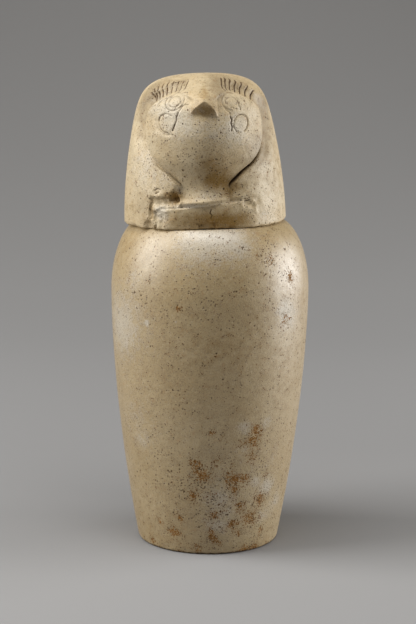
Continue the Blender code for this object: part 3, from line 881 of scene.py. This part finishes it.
def discs(turn, height, radius, places):
    """How strongly round places cover each point of the wall: a bell curve out from each."""
    total = 0 * radius
    for middle, level, size, amount in places:
        across = (turn - np.radians(middle)) * radius
        upward = height - level / MILLIMETRES
        far = (across**2 + upward**2) / (size / MILLIMETRES) ** 2
        total = total + amount * np.exp(-far)
    return total


def scattered_pits():
    """Pits drawn at random about each pitted place, on a bell curve of its spread."""
    random = np.random.default_rng(PIT_SEED)
    pits = []
    for turn, height, turn_spread, height_spread, count in PIT_PLACES:
        turns = random.normal(turn, turn_spread, count)
        heights = random.normal(height, height_spread, count)
        sizes = random.uniform(*PIT_SIZES, count)
        pits.extend(zip(turns, heights, sizes, np.ones(count)))
    return pits


def low_down(top, height):
    """Goes smoothly from 1 on the ground to 0 at the top."""
    return 1 - blend(0.0, top, height)


def wear_jar(outside, turn):
    """Sinks waves, pits, rust and chips into the jar's outside, and gives its masks."""
    turn = (turn + np.pi) % (2 * np.pi) - np.pi
    height = outside[..., 2]
    radius = np.hypot(outside[..., 0], outside[..., 1])
    rust = discs(turn, height, radius, JAR_RUST)
    pits = np.clip(discs(turn, height, radius, scattered_pits()), 0, 1)
    waves = grains(outside, JAR_WAVES)
    crumbs = grains(outside, JAR_CRUMBS)
    chips = low_down(FOOT_CHIPS_TOP, height) * np.clip(grains(outside, FOOT_CHIPS), 0, 1)
    sunk = JAR_WAVE_DEPTH * (1 + waves) + JAR_PIT_DEPTH * pits + FOOT_CHIP_DEPTH * chips
    sunk = sunk + JAR_RUST_DEPTH * np.clip(rust, 0, 1) * (RUST_DEPTH_EVEN + crumbs)
    side = blend(0.0, MOUTH_FADE, radius - MOUTH_RADIUS) * blend(0.0, GROUND_FADE, height)
    outside[..., :2] *= (1 - np.clip(sunk, 0, None) * side / radius)[..., None]
    foot_rust = low_down(FOOT_RUST_TOP, height) * (FOOT_RUST_EVEN + grains(outside, FOOT_RUST_CLOUDS))
    foot_darkening = low_down(FOOT_DARKENING_TOP, height) * (1 + crumbs)
    stain = JAR_STAIN + grains(outside, JAR_STAIN_CLOUDS)
    pitted = JAR_PITTED_ALL + discs(turn, height, radius, JAR_PITTED)
    # Pits and the darkening at the foot make the dark layer; patina and the painted highlights make
    # the pale one.
    return {
        "dirt": np.clip(pits + FOOT_DARKENING * foot_darkening, 0, 1),
        "stain": np.clip(stain, 0, 1),
        "grime": 0 * rust,
        "rust": np.clip(rust + FOOT_RUST * foot_rust, 0, 1),
        "bloom": np.clip(discs(turn, height, radius, JAR_BLOOM + JAR_WORN_AND_HIGHLIGHT), 0, 1),
        "pitted": np.clip(pitted, 0, 1),
    }


def make_jar(stone):
    """The hollow jar: its outside carries the wear, and its inside is plain."""
    turn = uneven_turns(JAR_FRONT, JAR_COLUMNS)
    outside, inside = jar_surface(turn[None, :])
    masks = wear_jar(outside, turn[None, :])
    plain = np.zeros(inside.shape[:2])
    masks = {name: np.concatenate([mask, plain]) for name, mask in masks.items()}
    rings = np.concatenate([outside, inside])
    jar = stone_piece("hollow_jar", rings, [(0, 0, 0), (0, 0, FLOOR)], masks)
    jar.data.materials.append(stone)
    return jar


# The stone.
# In a cell's pit: the size of its edge's noise, its smallest reach and how far its edge fades.
PIT_RAGGEDNESS = 0.25
PIT_SMALLEST = 0.50
PIT_SOFTNESS = 1.35


class Wire:
    """A shader socket that Python's operators act on by adding Math nodes."""

    def __init__(self, shader, socket):
        self.shader = shader
        self.socket = socket

    def math(self, operation, *others):
        sockets = {i: value for i, value in enumerate((self, *others))}
        return self.shader.node("ShaderNodeMath", {"operation": operation}, sockets)

    def __add__(self, other):
        return self.math("ADD", other)

    def __sub__(self, other):
        return self.math("SUBTRACT", other)

    def __rsub__(self, other):
        return self.shader.node("ShaderNodeMath", {"operation": "SUBTRACT"}, {0: other, 1: self})

    def __mul__(self, other):
        return self.math("MULTIPLY", other)

    def clamp(self):
        return self.shader.node("ShaderNodeClamp", {}, {"Value": self})

    __radd__ = __add__
    __rmul__ = __mul__


class Stone:
    """A material and its nodes: everything reads Object coordinates or the points' masks."""

    def __init__(self, name):
        self.material = bpy.data.materials.new(name)
        self.material.use_nodes = True
        self.tree = self.material.node_tree
        self.principled = self.tree.nodes["Principled BSDF"]
        self.place = self.node("ShaderNodeTexCoord", {}, {}, "Object")

    def node(self, kind, settings, inputs, output=0):
        """Adds a node, its settings first, then the values or wires of its sockets."""
        made = self.tree.nodes.new(kind)
        for name, value in settings.items():
            if name == "stops":
                ramp = made.color_ramp
                while len(ramp.elements) < len(value):
                    ramp.elements.new(0.5)
                for element, (position, color) in zip(ramp.elements, value):
                    element.position = position
                    element.color = color
            else:
                setattr(made, name, value)
        for name, value in inputs.items():
            if isinstance(value, Wire):
                self.tree.links.new(value.socket, made.inputs[name])
            else:
                made.inputs[name].default_value = value
        return Wire(self, made.outputs[output])

    def mask(self, name):
        """A mask kept on the piece's points."""
        return self.node("ShaderNodeAttribute", {"attribute_name": name}, {}, "Fac")

    def noise(self, size, detail, roughness=0.55):
        """Clouds about as large as size, in metres."""
        inputs = {"Vector": self.place, "Scale": 1 / size, "Detail": detail, "Roughness": roughness}
        return self.node("ShaderNodeTexNoise", {}, inputs)

    def pits(self, size, share, reach):
        """Uneven pits in cells about size apart; a share of the cells have one."""
        inputs = {"Vector": self.place, "Scale": 1 / size}
        far = self.node("ShaderNodeTexVoronoi", {}, inputs, "Distance")
        chance = self.node("ShaderNodeTexVoronoi", {}, inputs, "Color")
        red = self.node("ShaderNodeSeparateColor", {}, {"Color": chance}, "Red")
        green = self.node("ShaderNodeSeparateColor", {}, {"Color": chance}, "Green")
        hit = red.math("LESS_THAN", share)
        ragged = self.noise(size * PIT_RAGGEDNESS, 1.0) * reach
        edge = green * reach + reach * PIT_SMALLEST
        return hit * (1 - self.step(far + ragged, edge, edge * PIT_SOFTNESS))

    def step(self, value, low, high):
        """Goes smoothly from 0 at low to 1 at high."""
        settings = {"interpolation_type": "SMOOTHSTEP"}
        inputs = {"Value": value, "From Min": low, "From Max": high}
        return self.node("ShaderNodeMapRange", settings, inputs)

    def tint(self, amount, under, over):
        """The colour over, laid on the colour under by an amount from 0 to 1."""
        inputs = {"Factor": amount, 6: under, 7: over}
        return self.node("ShaderNodeMix", {"data_type": "RGBA"}, inputs, 2)

    def feed(self, name, value):
        """Sets or wires one of the shader's own sockets."""
        if isinstance(value, Wire):
            self.tree.links.new(value.socket, self.principled.inputs[name])
        else:
            self.principled.inputs[name].default_value = value


# Each stone's colours: its ground, and the paler and browner clouds in it.
JAR_TONES = ((0.410, 0.298, 0.140, 1.0), (0.510, 0.398, 0.225, 1.0), (0.300, 0.202, 0.080, 1.0))
LID_TONES = ((0.560, 0.440, 0.262, 1.0), (0.660, 0.570, 0.400, 1.0), (0.415, 0.290, 0.132, 1.0))
# The brown also paints shade and the grey-brown is painted shade; the darkest also paints shadow in
# grooves; the pale patina also paints highlights and glints.
STAIN_AND_SHADE = (0.290, 0.170, 0.040, 1.0)
GREY_SHADE = (0.240, 0.175, 0.092, 1.0)
RUST = (0.230, 0.092, 0.010, 1.0)
OCHRE = (0.350, 0.165, 0.032, 1.0)
DARK = (0.055, 0.024, 0.006, 1.0)
PIT = (0.065, 0.035, 0.013, 1.0)
BLOOM_AND_HIGHLIGHT = (0.590, 0.545, 0.455, 1.0)

# The stone's noises: size in metres, detail and roughness.
CLOUD_NOISE = (0.0450, 4.0, 0.55)
MOTTLE_NOISE = (0.0110, 4.0, 0.60)
PATCH_NOISE = (0.0055, 5.0, 0.65)
WARM_NOISE = (0.0034, 3.0, 0.70)
FINE_NOISE = (0.0022, 3.0, 0.60)
GRIT_NOISE = (0.0009, 2.0, 0.60)
PITTED_NOISE = (0.0160, 2.0, 0.55)
# The values between which each layer comes in.
CLOUD_STEP = (0.35, 0.65)
MOTTLE_STEP = (0.38, 0.66)
STAIN_AND_SHADE_STEP = (0.00, 1.10)
GREY_SHADE_STEP = (0.00, 1.00)
BLOOM_AND_HIGHLIGHT_STEP = (0.10, 0.90)
GLINT_STEP = (0.56, 0.66)
SPECKLE_STEP = (0.48, 0.64)
WARM_STEP = (0.56, 0.72)
RUST_STEP = (1.00, 1.60)
RUST_TONE_STEP = (0.40, 0.60)
PITTED_STEP = (0.36, 0.66)
DIRT_AND_SHADE_STEP = (0.12, 0.66)
# How strongly each layer covers what lies under it.
CLOUD_COVER = 0.50
MOTTLE_COVER = 0.30
FINE_COVER = 0.30
GREY_SHADE_COVER = 0.75
BLOOM_AND_HIGHLIGHT_COVER = 0.60
GLINT_COVER = 0.22
SPECKLE_COVER = 0.34
WARM_COVER = 0.30
RUST_COVER = 0.90
RUST_GRIT_COVER = 0.80
DIRT_AND_SHADE_COVER = 0.90
# How strongly the masks count, and how noise breaks up the edges of what they show.
STAIN_AND_SHADE_MASK = 1.10
RUST_MASK = 1.80
PITTED_MASK = 1.70
STAIN_AND_SHADE_PATCHES = 1.10
GREY_SHADE_PATCHES = 0.70
BLOOM_AND_HIGHLIGHT_PATCHES = 1.40
BLOOM_AND_HIGHLIGHT_GRIT = 1.20
SPECKLE_FINE = 0.35
RUST_FINE = 3.40
RUST_GRIT = 7.00
RUST_PATCHES = 3.20
DIRT_AND_SHADE_GRIT = 0.50
# Kinds of pits: cell size, the share of cells with a pit that full pitting adds to the share
# found anywhere, that share, the pits' reach and their darkness.
PIT_KINDS = (
    (0.0016, 0.85, 0.02, 0.29, 0.7),
    (0.0027, 0.42, 0.01, 0.17, 0.9),
    (0.0061, 0.12, 0.01, 0.09, 1.0),
)
# The polish, which dull places lack, and the roughness of bare, mottled and dull stone.
JAR_GLOSS = 0.90
LID_GLOSS = 0.15
GLOSS_ROUGHNESS = 0.41
GLOSS_IOR = 1.75
SPECULAR_LEVEL = 0.35
BARE_ROUGHNESS = 0.55
MOTTLE_ROUGHNESS = 0.10
DULL_ROUGHNESS = 0.30
STAIN_AND_SHADE_DULLNESS = 0.60
# How far grit, fine grain and patches stand out, how far pits and rust sink, and the bump.
BUMP_HEIGHTS = (0.34, 0.20, 0.80, -0.90, -0.35)
BUMP_STRENGTH = 0.65
BUMP_DISTANCE = 0.0009


def either_way(noise, amount):
    """A noise about nothing: what it has over its middle value, times an amount."""
    return (noise - 0.5) * amount


def limestone(name, tones, gloss):
    """Cream stone in layers: clouds, stains and painted shade, grey-brown painted shade, patina and
    painted highlights, painted glints, specks, rust, pits, and soiling and painted shadow.
    """
    stone = Stone(name)
    cream, pale, tan = tones
    patches = stone.noise(*PATCH_NOISE)
    fine = stone.noise(*FINE_NOISE)
    grit = stone.noise(*GRIT_NOISE)
    glints = stone.step(grit, *GLINT_STEP)

    clouds = stone.step(stone.noise(*CLOUD_NOISE), *CLOUD_STEP)
    mottle = stone.step(stone.noise(*MOTTLE_NOISE), *MOTTLE_STEP)
    color = stone.tint(clouds * CLOUD_COVER, cream, pale)
    color = stone.tint(mottle * MOTTLE_COVER + fine * FINE_COVER, color, tan)

    # Brown stains with painted shade, grey-brown painted shade, and pale patina with painted
    # highlights.
    stain = stone.mask("stain") * STAIN_AND_SHADE_MASK + either_way(patches, STAIN_AND_SHADE_PATCHES)
    stained_and_shaded = stone.step(stain, *STAIN_AND_SHADE_STEP)
    color = stone.tint(stained_and_shaded, color, STAIN_AND_SHADE)
    grime = stone.mask("grime") + either_way(patches, GREY_SHADE_PATCHES)
    color = stone.tint(stone.step(grime, *GREY_SHADE_STEP) * GREY_SHADE_COVER, color, GREY_SHADE)
    bloom = either_way(patches, BLOOM_AND_HIGHLIGHT_PATCHES) + either_way(grit, BLOOM_AND_HIGHLIGHT_GRIT)
    bloom = stone.step(stone.mask("bloom") + bloom, *BLOOM_AND_HIGHLIGHT_STEP)
    color = stone.tint(bloom * BLOOM_AND_HIGHLIGHT_COVER, color, BLOOM_AND_HIGHLIGHT)

    # Painted glints: whitish specks of the pale colour on the grain.
    color = stone.tint(glints * GLINT_COVER, color, BLOOM_AND_HIGHLIGHT)
    speckle = stone.step(grit + fine * SPECKLE_FINE, *SPECKLE_STEP)
    color = stone.tint(SPECKLE_COVER - speckle * SPECKLE_COVER, color, DARK)
    warm = stone.step(stone.noise(*WARM_NOISE), *WARM_STEP)
    color = stone.tint(warm * WARM_COVER, color, OCHRE)

    broken = either_way(fine, RUST_FINE) + either_way(grit, RUST_GRIT)
    broken = broken + either_way(patches, RUST_PATCHES)
    rusty = stone.step(stone.mask("rust") * RUST_MASK + broken, *RUST_STEP)
    rust = stone.tint(stone.step(fine, *RUST_TONE_STEP), OCHRE, RUST)
    color = stone.tint(rusty * RUST_COVER, color, rust)
    color = stone.tint(rusty * glints * RUST_GRIT_COVER, color, DARK)

    pitted = stone.step(stone.noise(*PITTED_NOISE), *PITTED_STEP)
    pitted = stone.mask("pitted") * pitted * PITTED_MASK
    kinds = [
        stone.pits(size, pitted * added + anywhere, reach) * darkness
        for size, added, anywhere, reach, darkness in PIT_KINDS
    ]
    pits = sum(kinds).clamp()
    color = stone.tint(pits, color, PIT)
    # The darkest layer: painted shadow in the grooves, the darkened carved lines, and pits and the
    # darkened foot.
    dirt = stone.mask("dirt") + either_way(grit, DIRT_AND_SHADE_GRIT)
    dirty_and_shaded = stone.step(dirt, *DIRT_AND_SHADE_STEP)
    color = stone.tint(dirty_and_shaded * DIRT_AND_SHADE_COVER, color, DARK)

    dull = (rusty + pits + dirty_and_shaded + stained_and_shaded * STAIN_AND_SHADE_DULLNESS).clamp()
    stone.feed("Base Color", color)
    stone.feed("Roughness", BARE_ROUGHNESS + mottle * MOTTLE_ROUGHNESS + dull * DULL_ROUGHNESS)
    stone.feed("Specular IOR Level", SPECULAR_LEVEL)
    stone.feed("Coat Weight", gloss * (1 - dull))
    stone.feed("Coat Roughness", GLOSS_ROUGHNESS)
    stone.feed("Coat IOR", GLOSS_IOR)
    layers = (grit, fine, patches, pits, rusty)
    height = sum(layer * share for layer, share in zip(layers, BUMP_HEIGHTS))
    inputs = {"Height": height, "Strength": BUMP_STRENGTH, "Distance": BUMP_DISTANCE}
    stone.feed("Normal", stone.node("ShaderNodeBump", {}, inputs))
    return stone.material


# The room.
# The paper's greys, by how far back they lie from the jar's axis, in metres, and the shares
# of red, green and blue in each. The greys paint the jar's shade on the floor about its foot
# and painted light that changes across floor and wall.
PAPER_REACH = (-0.20, 1.90)
PAPER_GREYS = (
    (-0.10, 0.272),
    (0.04, 0.225),
    (0.25, 0.235),
    (0.94, 0.318),
    (1.45, 0.352),
    (1.86, 0.385),
)
PAPER_WARMTH = (1.0, 0.984, 0.970)
PAPER_ROUGHNESS = 0.9

# The cove, in metres: the radius of its bend, where it starts and ends, and its wall.
COVE_BEND = 2.1
COVE_FRONT = -2.4
COVE_BACK = 2.8
COVE_HEIGHT = 4.0
COVE_HALF_WIDTH = 3.0
COVE_ROWS = 25

# The soft lights: name, place, width and height, and power in watts; and where they look.
SOFTBOXES = (
    ("left_softbox", (-1.20, -0.15, 0.85), (0.90, 1.20), 21.0),
    ("right_softbox", (1.27, 0.22, 0.30), (1.00, 0.60), 17.0),
    ("top_softbox", (-0.10, -0.30, 1.42), (1.30, 0.50), 14.5),
)
LIT_PLACE = (0.0, 0.0, 0.17)
ROOM_COLOR = (1.0, 0.94, 0.86, 1.0)
ROOM_STRENGTH = 0.135


def cove_paper():
    """Grey backdrop paper, whose tone goes by how far back it lies, with painted shade about the
    jar's foot.
    """
    paper = Stone("cove_paper")
    near, far = PAPER_REACH
    back = paper.node("ShaderNodeSeparateXYZ", {}, {"Vector": paper.place}, "Y")
    share = paper.node("ShaderNodeMapRange", {}, {"Value": back, "From Min": near, "From Max": far})
    stops = [
        ((y - near) / (far - near), (*(grey * warmth for warmth in PAPER_WARMTH), 1.0))
        for y, grey in PAPER_GREYS
    ]
    settings = {"stops": stops}
    paper.feed("Base Color", paper.node("ShaderNodeValToRGB", settings, {"Fac": share}, "Color"))
    paper.feed("Roughness", PAPER_ROUGHNESS)
    return paper.material


def make_cove():
    """A floor that curves up into a wall behind: a profile of depth and height, swept in X."""
    turn = np.radians(np.linspace(0, 90, COVE_ROWS))
    y = np.concatenate([[COVE_FRONT], COVE_BACK - COVE_BEND * (1 - np.sin(turn)), [COVE_BACK]])
    z = np.concatenate([[0.0], COVE_BEND * (1 - np.cos(turn)), [COVE_HEIGHT]])
    x = np.array([-COVE_HALF_WIDTH, COVE_HALF_WIDTH])
    points = np.stack(np.broadcast_arrays(x[None, :], y[:, None], z[:, None]), axis=-1)
    low = 2 * np.arange(len(y) - 1)
    faces = np.stack([low, low + 1, low + 3, low + 2], axis=-1)
    mesh = bpy.data.meshes.new("cove")
    mesh.from_pydata(points.reshape(-1, 3), [], faces.tolist())
    mesh.shade_smooth()
    mesh.materials.append(cove_paper())
    cove = bpy.data.objects.new("cove", mesh)
    bpy.context.scene.collection.objects.link(cove)


def softbox(name, place, size, power):
    """A rectangular soft light that looks at the lit place, with its height second in size."""
    light = bpy.data.lights.new(name, "AREA")
    light.shape = "RECTANGLE"
    light.size, light.size_y = size
    light.energy = power
    lamp = bpy.data.objects.new(name, light)
    lamp.matrix_world = looking(place, LIT_PLACE, 0.0)
    bpy.context.scene.collection.objects.link(lamp)


def looking(place, target, roll):
    """A matrix at a place whose -Z looks at the target, rolled about that line."""
    place, target = np.array(place, float), np.array(target, float)
    ahead = (target - place) / np.linalg.norm(target - place)
    right = np.cross(ahead, (0.0, 0.0, 1.0))
    right = right / np.linalg.norm(right)
    up = np.cross(right, ahead)
    across = np.cos(roll) * right + np.sin(roll) * up
    upright = np.cos(roll) * up - np.sin(roll) * right
    matrix = np.identity(4)
    matrix[:3] = np.stack([across, upright, -ahead, place], axis=1)
    return Matrix(matrix)


def make_lights():
    """Soft lights high on the left, low on the right and overhead, in a dim, warm room."""
    for place in SOFTBOXES:
        softbox(*place)
    world = bpy.data.worlds.new("room")
    world.use_nodes = True
    background = world.node_tree.nodes["Background"]
    background.inputs["Color"].default_value = ROOM_COLOR
    background.inputs["Strength"].default_value = ROOM_STRENGTH
    bpy.context.scene.world = world


def make_camera():
    """The photograph's camera: pitched down, rolled slightly, with a long lens."""
    ahead = (0.0, np.cos(CAMERA_PITCH), -np.sin(CAMERA_PITCH))
    target = np.array(CAMERA_PLACE) + ahead
    camera = bpy.data.objects.new("camera", bpy.data.cameras.new("camera"))
    camera.data.sensor_fit = "VERTICAL"
    camera.data.sensor_height = CAMERA_SENSOR
    camera.data.lens = CAMERA_LENS
    camera.matrix_world = looking(CAMERA_PLACE, target, CAMERA_ROLL)
    bpy.context.scene.collection.objects.link(camera)
    bpy.context.scene.camera = camera


def dress(piece, node):
    """Lets a finished piece stand for its CAD node."""
    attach(piece, "root")
    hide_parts(node)


bpy.context.scene.view_settings.view_transform = "Standard"
make_camera()
make_cove()
make_lights()
jar_stone = limestone("jar_limestone", JAR_TONES, JAR_GLOSS)
lid_stone = limestone("lid_limestone", LID_TONES, LID_GLOSS)
dress(make_jar(jar_stone), "jar")
dress(make_lid(lid_stone), "falcon_lid")
